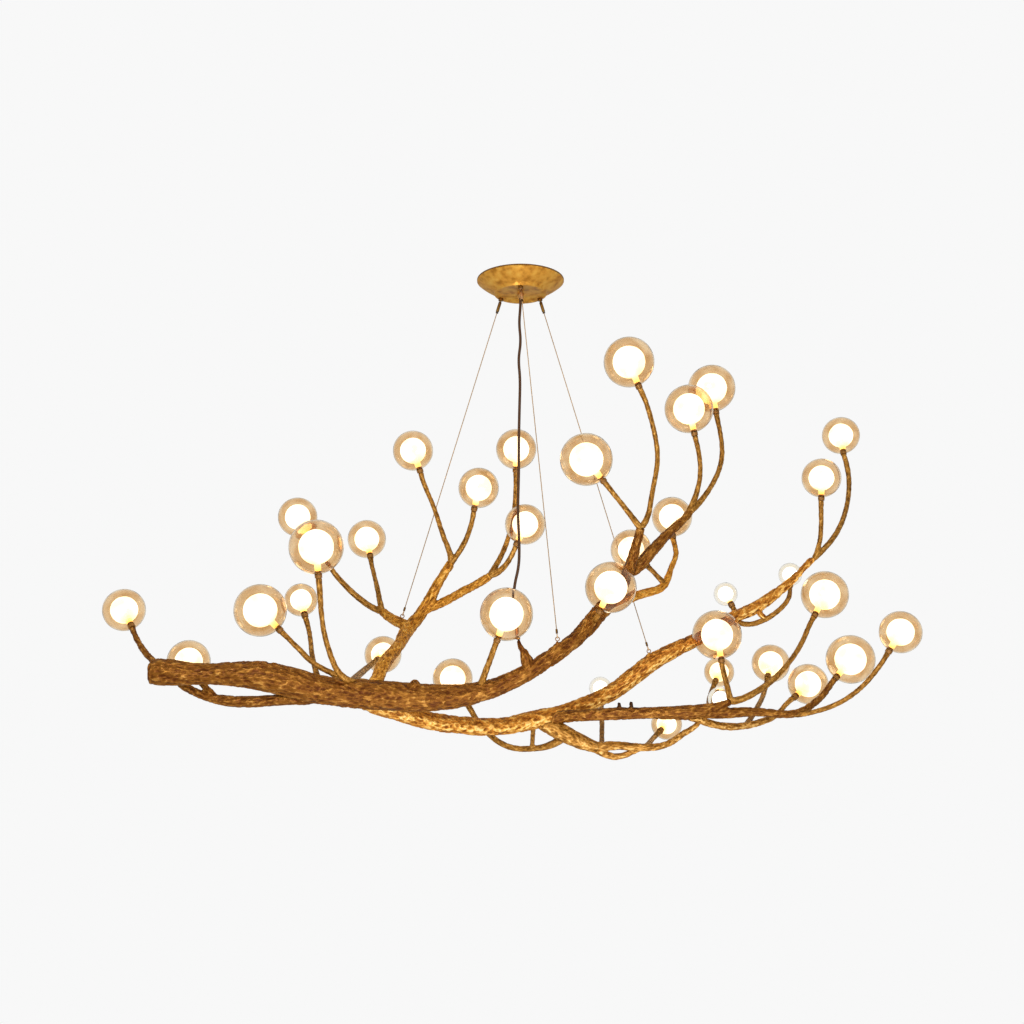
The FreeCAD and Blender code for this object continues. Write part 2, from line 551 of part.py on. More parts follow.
def centre_hardware():
    recess_floor = -(CANOPY_DEPTH - FLOOR_RECESS_H)
    bottom = recess_floor - NIPPLE_BELOW_FLOOR
    nipple = tube(NIPPLE_R, NIPPLE_BORE_R, NIPPLE_TOP_Z - bottom, V(0, 0, bottom))
    bore_r = NIPPLE_R + FIT / 3
    plate_top = -BRACKET_DROP + BRACKET_T
    top_nut = hex_nut(NUT_FLATS, NUT_H, bore_r, V(0, 0, plate_top))
    under_nut = hex_nut(NUT_FLATS, NUT_H, bore_r, V(0, 0, -BRACKET_DROP - SHAKEPROOF_T - NUT_H))
    lock_washer = tube(NUT_FLATS / 2, bore_r, SHAKEPROOF_T, V(0, 0, -BRACKET_DROP - SHAKEPROOF_T))
    grip_bottom = recess_floor - CORD_GRIP_H
    collar_bottom = recess_floor - CORD_GRIP_COLLAR_H
    grip = cylinder(CORD_GRIP_R, CORD_GRIP_COLLAR_H, V(0, 0, collar_bottom))
    taper = Part.makeCone(CORD_GRIP_TIP_R, CORD_GRIP_R, collar_bottom - grip_bottom, V(0, 0, grip_bottom))
    grip = grip.fuse(taper)
    grip = grip.cut(cylinder(bore_r, NIPPLE_BELOW_FLOOR, V(0, 0, bottom)))
    grip = grip.cut(cylinder(CORD_R + FIT / 2, CORD_GRIP_H, V(0, 0, grip_bottom)))
    return nipple, [top_nut, under_nut], lock_washer, grip


def driver_and_terminal():
    recess_top = -(CANOPY_DEPTH - FLOOR_RECESS_H) + CANOPY_WALL
    driver = box((DRIVER_L, DRIVER_W, DRIVER_H), 0, DRIVER_Y, recess_top)
    driver = driver.makeFillet(DRIVER_CORNER_R, [e for e in driver.Edges if abs(e.tangentAt(0).z) > 0.9])
    terminal = box((TERMINAL_L, TERMINAL_W, TERMINAL_H), 0, TERMINAL_Y, recess_top)
    screws = []
    pitch = TERMINAL_L / TERMINAL_SCREWS
    for i in range(TERMINAL_SCREWS):
        for side in (-1, 1):
            x = (i - (TERMINAL_SCREWS - 1) / 2) * pitch
            at = V(x, TERMINAL_Y + side * TERMINAL_W / 4, recess_top + TERMINAL_H - TERMINAL_SCREW_DEPTH)
            terminal = terminal.cut(cylinder(TERMINAL_SCREW_R + FIT / 2, TERMINAL_SCREW_DEPTH, at))
            screws.append(cylinder(TERMINAL_SCREW_R, TERMINAL_SCREW_H, at))
    return driver, terminal, screws


# ================================================================ cord
def cord_path(points):
    """Straight runs joined by tangent arcs, each as large as its two runs allow."""
    edges = []
    radii = []
    last = points[0]
    for before, corner, after in zip(points, points[1:], points[2:]):
        back = before - corner
        ahead = after - corner
        turn = math.pi - back.getAngle(ahead)
        setback = CORD_ARC_SHARE * min(back.Length, ahead.Length)
        radii.append(setback / math.tan(turn / 2))
        start = corner + back.normalize() * setback
        end = corner + ahead.normalize() * setback
        inward = (back + ahead).normalize()
        reach = math.hypot(radii[-1], setback) - radii[-1]
        edges.append(Part.LineSegment(last, start).toShape())
        edges.append(Part.Arc(start, corner + inward * reach, end).toShape())
        last = end
    edges.append(Part.LineSegment(last, points[-1]).toShape())
    return Part.Wire(edges), radii


def power_cord():
    points = [V(*p) for p in CORD_ROUTE]
    path, radii = cord_path(points)
    ring = Part.Wire(Part.makeCircle(CORD_R, points[0], points[1] - points[0]))
    cord = path.makePipeShell([ring], True, True)
    expected = math.pi * CORD_R ** 2 * path.Length
    print("cord length", round(path.Length), "radii", [round(r) for r in radii])
    print("cord volume against section times length", round(cord.Volume / expected, 4))
    down = points[-2] - points[-1]
    sleeve = tube(CORD_SLEEVE_R, CORD_R + FIT / 2, CORD_SLEEVE_LENGTH, points[-1], down)
    return cord, sleeve


# ================================================================ assembly
nodes = {}


def keep(name, shapes):
    nodes.setdefault(name, [])
    nodes[name] += shapes if isinstance(shapes, list) else [shapes]


def build_suspension():
    for side in GRIPPER_AZIMUTH:
        seat, seat_nut = gripper_seat(side)
        gripper, plunger = wire_gripper(side)
        wire, ferrule, eye = suspension_wire(side)
        keep("gripper_seats", seat)
        keep("gripper_seat_nuts", seat_nut)
        keep(f"wire_gripper_{side}", gripper)
        keep(f"release_sleeve_{side}", plunger)
        keep(f"suspension_wire_{side}", wire)
        keep(f"wire_ferrule_{side}", ferrule)
        keep("anchor_eyes", eye)


def build_canopy():
    keep("canopy_cover", canopy_cover())
    keep("ceiling_bracket", ceiling_bracket())
    keep("earth_screw", earth_screw())
    nipple, nuts, lock_washer, grip = centre_hardware()
    keep("centre_nipple", nipple)
    keep("nipple_nuts", nuts)
    keep("lock_washer", lock_washer)
    keep("cord_grip", grip)
    driver, terminal, screws = driver_and_terminal()
    keep("led_driver", driver)
    keep("terminal_block", terminal)
    keep("terminal_screws", screws)
    cord, sleeve = power_cord()
    keep("power_cord", cord)
    keep("cord_sleeve", sleeve)


def build_branches():
    under_tip = lamp_axis(1, LEFT_UNDER)[0]
    twig_tip = lamp_axis(2, LEFT_UNDER_TWIG)[0]
    inner_tip = lamp_axis(19, INNER)[0]
    lower_tip = lamp_axis(29, LOWER_RIGHT_TIP)[0]
    back_tip = lamp_axis(30, LOWER_BACK)[0]
    limbs = {
        "main_trunk": [limb(MAIN_TRUNK), limb(TRUNK_KNOT), limb(CORD_THORN), limb(FRONT_THORN)],
        "second_trunk": [limb(SECOND_TRUNK, degree=LONG_BEND_DEGREE), limb(RIGHT_THORN), limb(TRUNK_WEB)],
        "left_under_branch": [limb(LEFT_UNDER, under_tip), limb(LEFT_UNDER_TWIG, twig_tip)],
        "left_rising_branch": [limb(RISING), limb(RISING_LEFT), limb(RISING_RIGHT)],
        "right_upper_branch": [limb(UPPER), limb(UPPER_BACK)],
        "right_inner_branch": [limb(INNER, inner_tip)],
        "lower_right_branch": [
            limb(LOWER_RIGHT), limb(LOWER_RIGHT_TIP, lower_tip), limb(LOWER_NUB_A), limb(LOWER_NUB_B),
        ],
        "lower_back_branch": [limb(LOWER_BACK, back_tip)],
        "bottom_branch": [limb(BOTTOM), limb(BOTTOM_UPPER), limb(BOTTOM_LOWER)],
    }
    done = []
    for name, shapes in limbs.items():
        branch = fitted(joined(shapes), done)
        for eye in nodes["anchor_eyes"]:
            if branch.solid.BoundBox.intersect(eye.BoundBox):
                branch.solid = largest(branch.solid.cut(eye))
        keep(name, branch.solid)
        done.append(branch)
    return done


def build_stems(branches):
    groups = {
        "trunk_stems": TRUNK_STEMS,
        "rising_stems": RISING_STEMS,
        "upper_stems": UPPER_STEMS,
        "second_trunk_stems": SECOND_STEMS,
        "lower_right_stems": LOWER_STEMS,
        "bottom_stems": BOTTOM_STEMS,
    }
    axes = {
        1: lamp_axis(1, LEFT_UNDER), 2: lamp_axis(2, LEFT_UNDER_TWIG), 19: lamp_axis(19, INNER),
        29: lamp_axis(29, LOWER_RIGHT_TIP), 30: lamp_axis(30, LOWER_BACK),
    }
    done = list(branches)
    for name, stems in groups.items():
        for number, route in stems.items():
            axes[number] = lamp_axis(number, route)
            stem = fitted(limb(route, axes[number][0]), done)
            keep(name, stem.solid)
            done.append(stem)
    keep("bottom_stems", fitted(limb(BRACE), done).solid)
    return axes


def build_lamps(axes):
    pieces = {diameter: lamp_pieces(diameter) for diameter in sorted({d for d, c in LAMPS.values()})}
    for number, (tip, direction) in sorted(axes.items()):
        place = FreeCAD.Placement(tip, FreeCAD.Rotation(UP, direction))
        for name, shape in pieces[LAMPS[number][0]].items():
            copy = shape.copy()
            copy.Placement = place
            keep(name, copy)


def main():
    os.makedirs("parts", exist_ok=True)
    build_suspension()
    build_canopy()
    lamp_axes = build_stems(build_branches())
    build_lamps(lamp_axes)
    for name, shapes in nodes.items():
        for shape in shapes:
            if not shape.isValid() or not shape.Solids:
                print("NOT VALID:", name)
        whole = shapes[0] if len(shapes) == 1 else Part.makeCompound(shapes)
        whole.exportStep(f"parts/{name}.step")
    print(len(nodes), "nodes,", sum(len(s) for s in nodes.values()), "solids")


main()
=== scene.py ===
"""Looks of the branch chandelier: gilt bark, double-glass globes, wires, cord and canopy.

Metres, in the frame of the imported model, which every piece is placed from.
"""

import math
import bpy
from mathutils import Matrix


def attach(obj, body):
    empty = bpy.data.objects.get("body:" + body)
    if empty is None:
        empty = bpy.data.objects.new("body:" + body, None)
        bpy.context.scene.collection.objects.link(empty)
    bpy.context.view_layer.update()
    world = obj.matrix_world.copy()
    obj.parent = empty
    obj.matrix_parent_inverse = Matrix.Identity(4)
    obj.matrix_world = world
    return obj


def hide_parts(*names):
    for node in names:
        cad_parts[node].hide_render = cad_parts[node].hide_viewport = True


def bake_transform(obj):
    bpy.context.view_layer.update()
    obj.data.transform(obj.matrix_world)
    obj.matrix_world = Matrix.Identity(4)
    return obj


bl_info = {
    "name": "Branch Chandelier",
    "version": (1, 0, 0),
    "blender": (4, 5, 0),
    "location": "3D View > Sidebar > Chandelier",
    "description": "Builds the looks of a gilded branch chandelier on its measured frame",
    "category": "Object",
}

import bpy
import numpy as np
from mathutils import Matrix, Vector

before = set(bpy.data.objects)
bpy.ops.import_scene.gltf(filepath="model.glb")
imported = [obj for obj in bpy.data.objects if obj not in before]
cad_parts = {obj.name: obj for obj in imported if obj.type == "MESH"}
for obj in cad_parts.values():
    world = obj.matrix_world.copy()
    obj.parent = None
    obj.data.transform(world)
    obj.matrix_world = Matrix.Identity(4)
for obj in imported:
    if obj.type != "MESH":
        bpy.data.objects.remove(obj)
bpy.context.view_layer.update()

MM = 0.001
# Closer points than this are one point.
SAME_POINT = 1e-6
# The outer glasses' widths in millimetres, as their CAD nodes are named.
SIZES = (120, 100, 80, 60)
# Leaf and lacquer have little shine of their own over the metal.
LEAF_SHINE = 0.15


# ---------------------------------------------------------------- colours and nodes
def linear(code):
    """An sRGB hex colour as the linear red, green, blue and alpha that shaders work in."""
    channels = [int(code[at:at + 2], 16) / 255 for at in (1, 3, 5)]
    return [c / 12.92 if c <= 0.04045 else ((c + 0.055) / 1.055) ** 2.4 for c in channels] + [1.0]


def add_node(tree, kind, inputs=(), **settings):
    """Adds a node.  Each input is (socket, value), and a value that is a socket is linked."""
    made = tree.nodes.new(kind)
    for name, value in settings.items():
        setattr(made, name, value)
    for socket, value in inputs:
        if isinstance(value, bpy.types.NodeSocket):
            tree.links.new(value, made.inputs[socket])
        else:
            made.inputs[socket].default_value = value
    return made


def new_material(name):
    made = bpy.data.materials.new(name)
    made.use_nodes = True
    made.node_tree.nodes.clear()
    return made, made.node_tree


def principled(tree, inputs):
    """Ends a material's tree with one Principled surface."""
    shader = add_node(tree, "ShaderNodeBsdfPrincipled", inputs)
    add_node(tree, "ShaderNodeOutputMaterial", [("Surface", shader.outputs[0])])


def ramp(tree, factor, stops):
    """A colour ramp through (position, hex) stops."""
    made = add_node(tree, "ShaderNodeValToRGB", [("Fac", factor)])
    elements = made.color_ramp.elements
    while len(elements) < len(stops):
        elements.new(0.5)
    for element, (at, code) in zip(elements, stops):
        element.position = at
        element.color = linear(code)
    return made.outputs["Color"]


def read(tree, attribute):
    """The value of a mesh attribute."""
    return add_node(tree, "ShaderNodeAttribute", attribute_name=attribute).outputs["Fac"]


def mix(tree, factor, low, high):
    """A colour between low and high, which are a Mix node's inputs 6 and 7."""
    inputs = [("Factor", factor), (6, low), (7, high)]
    return add_node(tree, "ShaderNodeMix", inputs, data_type="RGBA").outputs[2]


def own_place(tree):
    """Each point's place in the object's own coordinates."""
    return add_node(tree, "ShaderNodeTexCoord").outputs["Object"]


def noise(tree, size_mm, detail=3.0):
    """Noise whose features are about size_mm across."""
    scale = 1 / (size_mm * MM)
    inputs = [("Vector", own_place(tree)), ("Scale", scale), ("Detail", detail)]
    return add_node(tree, "ShaderNodeTexNoise", inputs).outputs["Fac"]


def bump(tree, height, depth_mm, strength=1.0):
    """A normal that follows the height, from 0 to depth_mm."""
    inputs = [("Height", height), ("Distance", depth_mm * MM), ("Strength", strength)]
    return add_node(tree, "ShaderNodeBump", inputs).outputs[0]


def plain(name, code, metallic, roughness, grain_mm=0.0, grain_depth_mm=0.0):
    """One even material, with a fine grain in its surface where grain_mm is given."""
    made, tree = new_material(name)
    inputs = [("Base Color", linear(code)), ("Metallic", metallic), ("Roughness", roughness)]
    if grain_mm:
        inputs.append(("Normal", bump(tree, noise(tree, grain_mm), grain_depth_mm)))
    principled(tree, inputs)
    return made


# ---------------------------------------------------------------- pieces
def link(obj):
    bpy.context.scene.collection.objects.link(obj)
    return obj


def only(obj):
    """Selects this object alone."""
    bpy.ops.object.select_all(action="DESELECT")
    obj.select_set(True)
    bpy.context.view_layer.objects.active = obj


def copied(name, node):
    """A new object with the CAD node's shape, its doubles merged."""
    obj = link(bpy.data.objects.new(name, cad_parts[node].data.copy()))
    only(obj)
    bpy.ops.object.mode_set(mode="EDIT")
    bpy.ops.mesh.select_all(action="SELECT")
    bpy.ops.mesh.remove_doubles(threshold=SAME_POINT)
    bpy.ops.object.mode_set(mode="OBJECT")
    return obj


def apply_modifier(obj, kind, **settings):
    only(obj)
    modifier = obj.modifiers.new(kind.title(), kind)
    for name, value in settings.items():
        setattr(modifier, name, value)
    bpy.ops.object.modifier_apply(modifier=modifier.name)


def finish(obj, name, material, body, nodes):
    """Names and paints a piece, puts it on the body it rides on and hides the CAD nodes it stands
    for.
    """
    obj.name = name
    obj.data.name = name
    obj.data.materials.clear()
    obj.data.materials.append(material)
    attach(obj, body)
    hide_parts(*nodes)
    return obj


def smooth_copy(node, material, body, angle=35.0):
    """The CAD node's own shape, shaded smooth over edges of less than the angle in degrees."""
    obj = copied(node + "_look", node)
    only(obj)
    bpy.ops.object.shade_smooth_by_angle(angle=math.radians(angle))
    return finish(obj, node + "_look", material, body, [node])


def vertex_rows(mesh, name):
    """One row for each vertex, with its place ("co") or its normal."""
    values = np.empty(len(mesh.vertices) * 3)
    mesh.vertices.foreach_get(name, values)
    return values.reshape(-1, 3)


def islands(node):
    """The corners (lowest, highest) of each separate solid in a CAD node, in a steady order."""
    obj = copied("island", node)
    bpy.ops.object.mode_set(mode="EDIT")
    bpy.ops.mesh.select_all(action="SELECT")
    bpy.ops.mesh.separate(type="LOOSE")
    bpy.ops.object.mode_set(mode="OBJECT")
    boxes = []
    for part in list(bpy.context.selected_objects):
        points = vertex_rows(part.data, "co")
        boxes.append((Vector(points.min(axis=0)), Vector(points.max(axis=0))))
        bpy.data.objects.remove(part)
    return sorted(boxes, key=lambda box: tuple(round(value, 5) for value in box[0]))


def middle(box):
    return (box[0] + box[1]) / 2


# ---------------------------------------------------------------- bark
# A quad is two triangles, and a piece stays under 200,000 triangles.
MOST_QUADS = 99000
# Rounds of averaging that find the way along a branch and the side it turns down.
DIRECTION_ROUNDS = 30
UNDER_ROUNDS = 6
# How far to its sides a streak takes up values, as a share of the voxel.
STREAK_REACH = 0.55
# Ridges are drawn out in this many times the rounds of fibres and flakes.
SHORTER = 4
# Rounds in which flakes are spread to all sides first.
FLAKE_WIDTH = 2
# What ridges, fibres and flakes add to the bark's height.
RIDGE_SHARE, FIBRE_SHARE, FLAKE_SHARE = 0.5, 0.35, 0.15
# The skin goes in by this share of the relief, so that the bark stands about the branch's surface.
INWARD = 0.6
# The two cut twigs on this branch are nearly black above their foot.
NUBBED_BRANCH = "lower_right_branch"
NUB_X = (0.222, 0.280)
NUB_FOOT_Z = -1.073
NUB_FADE = 0.006


def near_table(mesh):
    """For each vertex of a mesh of quads, the vertices that share a face with it.

    Each row is filled up with the vertex itself.
    """
    corners = np.empty(len(mesh.polygons) * 4, dtype=np.int64)
    mesh.polygons.foreach_get("vertices", corners)
    quads = corners.reshape(-1, 4)
    pairs = np.concatenate([quads[:, [a, b]] for a in range(4) for b in range(4) if a != b])
    pairs = np.unique(pairs, axis=0)
    count = len(mesh.vertices)
    starts = np.searchsorted(pairs[:, 0], np.arange(count))
    column = np.arange(len(pairs)) - starts[pairs[:, 0]]
    table = np.repeat(np.arange(count)[:, None], column.max() + 1, axis=1)
    table[pairs[:, 0], column] = pairs[:, 1]
    return table


def spread(values, table, rounds):
    """The values, averaged with their neighbours' in each round."""
    for _ in range(rounds):
        values = values[table].mean(axis=1)
    return values


def along_branch(normals, table):
    """Unit direction along the branch at each vertex, the one in which the normals turn least."""
    rows, columns = (0, 0, 0, 1, 1, 2), (0, 1, 2, 1, 2, 2)
    tensor = spread(normals[:, rows] * normals[:, columns], table, DIRECTION_ROUNDS)
    full = np.empty((len(tensor), 3, 3))
    for at, (row, column) in enumerate(zip(rows, columns)):
        full[:, row, column] = full[:, column, row] = tensor[:, at]
    return np.linalg.eigh(full)[1][:, :, 0]


def ranked(values):
    """The values as shares from 0 to 1, evenly spread."""
    shares = np.empty(len(values))
    shares[np.argsort(values)] = np.linspace(0, 1, len(values))
    return shares


def streaks(points, direction, table, voxel, width, rounds, draw):
    """Random values drawn out along the branch, ranked from 0 to 1.

    They are spread to all sides in as many rounds as width says, then along the branch.
    """
    count = len(points)
    wide = table[table].reshape(count, -1)
    offset = points[wide] - points[:, None, :]
    run = (offset * direction[:, None, :]).sum(axis=2)
    across = (offset ** 2).sum(axis=2) - run ** 2
    weight = np.exp(-across / (STREAK_REACH * voxel) ** 2)
    weight /= weight.sum(axis=1)[:, None]
    values = spread(draw.random(count), table, width)
    for _ in range(rounds):
        values = (values[wide] * weight).sum(axis=1)
    return ranked(values)


def bark(obj, voxel, relief, rounds, seed):
    """Turns a copied branch into one skin with bark drawn out along it."""
    apply_modifier(obj, "REMESH", mode="VOXEL", voxel_size=voxel)
    apply_modifier(obj, "SMOOTH", factor=0.5, iterations=4)
    mesh = obj.data
    if len(mesh.polygons) > MOST_QUADS:
        raise RuntimeError(f"{obj.name} has {len(mesh.polygons)} quads; its voxel is too fine")
    points, normals = vertex_rows(mesh, "co"), vertex_rows(mesh, "normal")
    table = near_table(mesh)
    direction = along_branch(normals, table)
    draw = np.random.default_rng(seed)
    short = rounds // SHORTER
    ridges = streaks(points, direction, table, voxel, 0, rounds, draw)
    fibres = streaks(points, direction, table, voxel, 0, short, draw)
    flakes = streaks(points, direction, table, voxel, FLAKE_WIDTH, short, draw)
    height = ranked(RIDGE_SHARE * ridges + FIBRE_SHARE * fibres + FLAKE_SHARE * flakes)
    # How far the bark faces down, which the gilt's painted light from below follows.
    under = 0.5 - spread(normals[:, 2], table, UNDER_ROUNDS) / 2
    marks = {"bark": height, "fibre": fibres, "flake": flakes, "under": under}
    if obj.name.startswith(NUBBED_BRANCH):
        burnt = np.clip((points[:, 2] - NUB_FOOT_Z) / NUB_FADE, 0, 1)
        burnt[(points[:, 0] < NUB_X[0]) | (points[:, 0] > NUB_X[1])] = 0.0
        marks["burnt"] = burnt
    for name, values in marks.items():
        mesh.attributes.new(name, "FLOAT", "POINT").data.foreach_set("value", values)
    group = obj.vertex_groups.new(name="bark")
    for index, value in enumerate(height):
        group.add([index], float(value), "REPLACE")
    apply_modifier(obj, "DISPLACE", vertex_group="bark", strength=relief, mid_level=0.0)
    apply_modifier(obj, "DISPLACE", strength=-relief * INWARD, mid_level=0.0)
    obj.vertex_groups.clear()
    only(obj)
    bpy.ops.object.shade_smooth()


LEAF_METALLIC = 0.3
# Where the painted light on the lower side is full after it starts, where it begins to end, and
# where it has ended.
LIT_RISE, LIT_TO, UNLIT_FROM = 0.16, 0.78, 0.97


def gilt_resin(name, dark, body, light, fleck, lit_from, lit, roughness):
    """Moulded resin bark under rubbed metal leaf: dull in the grooves, bright where it is rubbed.

    The side that faces out and down is painted brighter, a painted light from below.  The attribute
    "under" is 0 where the bark faces up and 1 where it faces down, lit_from is where in it the
    painted light starts, and lit is how strong it is, as a grey.
    """
    made, tree = new_material(name)
    height = read(tree, "bark")
    upper = ramp(tree, height, [(0.0, dark), (0.35, body), (0.72, body), (1.0, light)])
    # The lower colours are a painted light from below: a brighter gold on the side that faces down.
    lower = ramp(tree, height, [(0.0, dark), (0.25, body), (0.7, light), (0.95, "#F8DA98")])
    painted_light_stops = [
        (lit_from, "#000000"), (lit_from + LIT_RISE, lit), (LIT_TO, lit), (UNLIT_FROM, "#000000")]
    side = ramp(tree, read(tree, "under"), painted_light_stops)
    base = mix(tree, side, upper, lower)
    patch = ramp(tree, noise(tree, 30, detail=4), [(0.45, "#000000"), (0.68, "#8C8C8C")])
    flakes = ramp(tree, read(tree, "flake"), [(0.2, fleck), (0.5, body), (0.9, light)])
    flecked = mix(tree, patch, base, flakes)
    # Painted glints: pale gold specks a few millimetres long, on the fibres' crests only.
    painted_glint_mask = ramp(tree, read(tree, "fibre"), [(0.9, "#000000"), (0.99, "#A0A0A0")])
    painted_glint = mix(tree, painted_glint_mask, flecked, linear("#E8B86C"))
    # The narrow fissures between the fibres hold the dark ground coat.
    gap = ramp(tree, read(tree, "fibre"), [(0.05, "#A0A0A0"), (0.2, "#000000")])
    barked = mix(tree, gap, painted_glint, linear(dark))
    colour = mix(tree, read(tree, "burnt"), barked, linear("#3A2210"))
    inputs = [
        ("Base Color", colour), ("Metallic", LEAF_METALLIC), ("Roughness", roughness),
        ("Specular IOR Level", LEAF_SHINE),
    ]
    principled(tree, inputs)
    return made


# Each tone's lit_from and lit set the painted light on the side that faces down.
LEAVES = {
    # tone: (material, dark, body, light, fleck, lit_from, lit)
    "brown": ("Gilt_resin_bark_brown", "#522804", "#7E5018", "#B07C34", "#70300E", 0.55, "#404040"),
    "orange": ("Gilt_resin_bark_orange", "#74440C", "#BC822C", "#E4B254", "#A06024", 0.5, "#606060"),
    "gold": ("Gilt_resin_bark_gold", "#6C3A0A", "#B47628", "#ECBE64", "#98541C", 0.46, "#FFFFFF"),
    "olive": ("Gilt_resin_bark_olive", "#64400E", "#A87630", "#E4B466", "#8A5A24", 0.45, "#B0B0B0"),
    "stem": ("Gilt_stem", "#5A3A0C", "#966A2A", "#C4964C", "#7E501C", 0.55, "#404040"),
}
BRANCHES = {
    # node: (material slot, tone, voxel and relief in millimetres, rounds of the ridges)
    "main_trunk": ("trunk_gilt", "brown", 1.75, 3.2, 14),
    "left_under_branch": ("trunk_gilt", "brown", 1.6, 1.9, 12),
    "left_rising_branch": ("trunk_gilt", "orange", 1.7, 2.2, 12),
    "right_upper_branch": ("trunk_gilt", "brown", 1.6, 2.0, 12),
    "right_inner_branch": ("trunk_gilt", "orange", 1.6, 1.5, 12),
    "second_trunk": ("second_trunk_gilt", "gold", 1.75, 2.8, 14),
    "lower_right_branch": ("second_trunk_gilt", "brown", 1.7, 2.0, 12),
    "lower_back_branch": ("second_trunk_gilt", "olive", 1.6, 1.6, 12),
    "bottom_branch": ("second_trunk_gilt", "olive", 1.6, 1.6, 12),
}
for stems in ("trunk", "rising", "upper", "second_trunk", "lower_right", "bottom"):
    BRANCHES[stems + "_stems"] = ("stem_gilt", "stem", 1.7, 0.9, 8)


class BranchSettings(bpy.types.PropertyGroup):
    relief: bpy.props.FloatProperty(
        name="Relief", description="Share of each branch's bark depth", default=1.0,
        min=0.0, max=2.0)
    seed: bpy.props.IntProperty(name="Seed", description="Which bark is drawn", default=7)
    roughness: bpy.props.FloatProperty(
        name="Roughness", description="How dull the leaf is", default=0.42, subtype="FACTOR",
        min=0, max=1)


class OBJECT_OT_branches(bpy.types.Operator):
    """Dresses the branches and lamp stems in gilt bark"""

    bl_idname = "chandelier.branches"
    bl_label = "Branches and stems"

    def execute(self, context):
        settings = context.scene.chandelier_branches
        leaf = {tone: gilt_resin(*look, settings.roughness) for tone, look in LEAVES.items()}
        for offset, (node, (slot, tone, voxel, relief, rounds)) in enumerate(BRANCHES.items()):
            obj = copied(node + "_bark", node)
            bark(obj, voxel * MM, relief * MM * settings.relief, rounds, settings.seed + offset)
            finish(obj, node + "_bark", leaf[tone], "frame", [node])
        return {"FINISHED"}


# ---------------------------------------------------------------- lamps
def lamp_places():
    """{size: [(centre, direction of the neck)]} of each globe, from the CAD's glasses and cups."""
    cups = [middle(box) for box in islands("globe_cups")]
    places = {}
    for size in SIZES:
        places[size] = []
        for box in islands(f"glass_globes_{size}"):
            centre = middle(box)
            cup = min(cups, key=lambda point: (point - centre).length)
            places[size].append((centre, (cup - centre).normalized()))
    return places


SPHERE_SEGMENTS = 48


def sphere_with_mouth(radius, mouth):
    """A sphere open round -Z, where its edge has the radius of the mouth."""
    bpy.ops.object.select_all(action="DESELECT")
    bpy.ops.mesh.primitive_uv_sphere_add(
        segments=SPHERE_SEGMENTS, ring_count=SPHERE_SEGMENTS // 2, radius=radius)
    obj = bpy.context.view_layer.objects.active
    cut = -math.sqrt(radius ** 2 - mouth ** 2)
    bpy.ops.object.mode_set(mode="EDIT")
    bpy.ops.mesh.select_all(action="SELECT")
    bpy.ops.mesh.bisect(plane_co=(0, 0, cut), plane_no=(0, 0, -1), clear_outer=True)
    bpy.ops.object.mode_set(mode="OBJECT")
    return obj


def ball_with_neck(radius, neck, end):
    """A ball whose closed neck ends at z = end.  Its attribute "height" is 0 there and 1 on top."""
    obj = sphere_with_mouth(radius, neck)
    edge = -math.sqrt(radius ** 2 - neck ** 2)
    bpy.ops.object.mode_set(mode="EDIT")
    bpy.ops.mesh.select_all(action="DESELECT")
    bpy.ops.mesh.select_non_manifold()
    bpy.ops.mesh.extrude_region_move(TRANSFORM_OT_translate={"value": (0, 0, end - edge)})
    bpy.ops.mesh.edge_face_add()
    bpy.ops.object.mode_set(mode="OBJECT")
    heights = [(vertex.co.z - end) / (radius - end) for vertex in obj.data.vertices]
    obj.data.attributes.new("height", "FLOAT", "POINT").data.foreach_set("value", heights)
    return obj


def placed_copies(model, places, name):
    """Copies the model to each place, its -Z turned to the neck, and joins the copies."""
    copies = []
    for centre, neck in places:
        copy = link(bpy.data.objects.new(name, model.data.copy()))
        turn = Vector((0, 0, -1)).rotation_difference(neck).to_matrix().to_4x4()
        copy.data.transform(Matrix.Translation(centre) @ turn)
        copies.append(copy)
    bpy.data.objects.remove(model)
    bpy.ops.object.select_all(action="DESELECT")
    for copy in copies:
        copy.select_set(True)
    bpy.context.view_layer.objects.active = copies[0]
    if len(copies) > 1:
        bpy.ops.object.join()
    obj = bpy.context.view_layer.objects.active
    only(obj)
    bpy.ops.object.shade_smooth()
    return obj


def clear_glass(name, deep, tint, thin):
    """Blown glass with a lustre that is a little uneven over the globe."""
    made, tree = new_material(name)
    lustre = ramp(tree, noise(tree, 34, detail=1), [(0.35, deep), (0.5, tint), (0.68, thin)])
    waves = bump(tree, noise(tree, 22, detail=2), 0.4, strength=0.5)
    inputs = [
        ("Base Color", lustre), ("Roughness", 0.02), ("IOR", 1.45),
        ("Transmission Weight", 1.0), ("Normal", waves),
    ]
    principled(tree, inputs)
    return made


def opal_glass(glow):
    """Opal glass lit from inside, yellow at its neck and white from a third of its height up."""
    made, tree = new_material("Opal_glass_lit")
    stops = [(0.0, "#FFC868"), (0.09, "#FFDE98"), (0.2, "#FFF2D2"), (0.34, "#FAFAFA")]
    colour = ramp(tree, read(tree, "height"), stops)
    inputs = [
        ("Base Color", linear("#F6EBCB")), ("Roughness", 0.35),
        ("Emission Color", colour), ("Emission Strength", glow),
    ]
    principled(tree, inputs)
    return made


